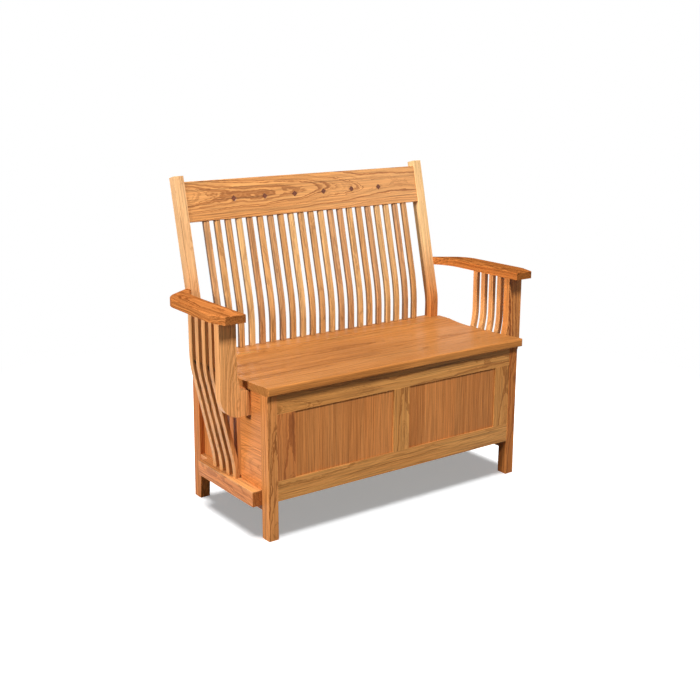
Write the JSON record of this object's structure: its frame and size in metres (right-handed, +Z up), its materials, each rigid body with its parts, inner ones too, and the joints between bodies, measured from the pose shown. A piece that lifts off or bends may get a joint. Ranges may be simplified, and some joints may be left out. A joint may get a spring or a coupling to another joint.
{
  "type": "mission settle",
  "caption": "Small oak storage bench with a lift-up scooped seat, a tall slatted leaning back, a crest rail with dark diamond plugs and bracketed arms over bent side slats.",
  "frame": {"origin": "on the floor, under the middle of the overall box", "axes": "+Z up, the front faces -Y, +X to the right of someone looking at the front"},
  "size_m": [1.176, 0.5534, 0.987],
  "materials": {
    "oak": "satin",
    "oak_panel": "satin",
    "poplar": "matte",
    "dark_plug": "satin",
    "brass": "satin",
    "screw_steel": "satin"
  },
  "bodies": {
    "settle": {"front_leg_left": "oak", "front_leg_right": "oak", "rear_post_left": "oak", "rear_post_right": "oak", "front_top_rail": "oak", "front_bottom_rail": "oak", "front_stile_left": "oak", "front_stile_center": "oak", "front_stile_right": "oak", "back_top_rail": "oak", "back_bottom_rail": "oak", "side_top_rail_left": "oak", "side_top_rail_right": "oak", "side_bottom_rail_left": "oak", "side_bottom_rail_right": "oak", "side_stile_left": "oak", "side_stile_right": "oak", "seat_rear_rail": "oak", "crest_rail": "oak", "arm_left": "oak", "arm_right": "oak", "arm_post_left": "oak", "arm_post_right": "oak", "side_slats_left": "oak", "side_slats_right": "oak", "back_slat_01": "oak", "back_slat_02": "oak", "back_slat_03": "oak", "back_slat_04": "oak", "back_slat_05": "oak", "back_slat_06": "oak", "back_slat_07": "oak", "back_slat_08": "oak", "back_slat_09": "oak", "back_slat_10": "oak", "back_slat_11": "oak", "back_slat_12": "oak", "back_slat_13": "oak", "back_slat_14": "oak", "back_slat_15": "oak", "back_slat_16": "oak", "back_slat_17": "oak", "back_slat_18": "oak", "back_slat_19": "oak", "back_slat_20": "oak", "back_slat_21": "oak", "front_panel_left": "oak_panel", "front_panel_right": "oak_panel", "side_panel_left": "oak_panel", "side_panel_right": "oak_panel", "back_panel": "oak_panel", "chest_floor": "poplar", "floor_cleats": "poplar", "crest_plugs": "dark_plug", "hinge_rail_leaves": "brass", "hinge_pins": "brass", "hinge_rail_screws": "screw_steel"},
    "lid": {"seat_lid": "oak", "hinge_lid_leaves": "brass", "hinge_lid_screws": "screw_steel"}
  },
  "joints": [
    {"name": "lid_hinge", "type": "hinge", "parent": "settle", "child": "lid", "pos_m": [0, 0.08932, 0.4545], "axis": [-1, 0, 0], "range_deg": [0, 100]}
  ]
}
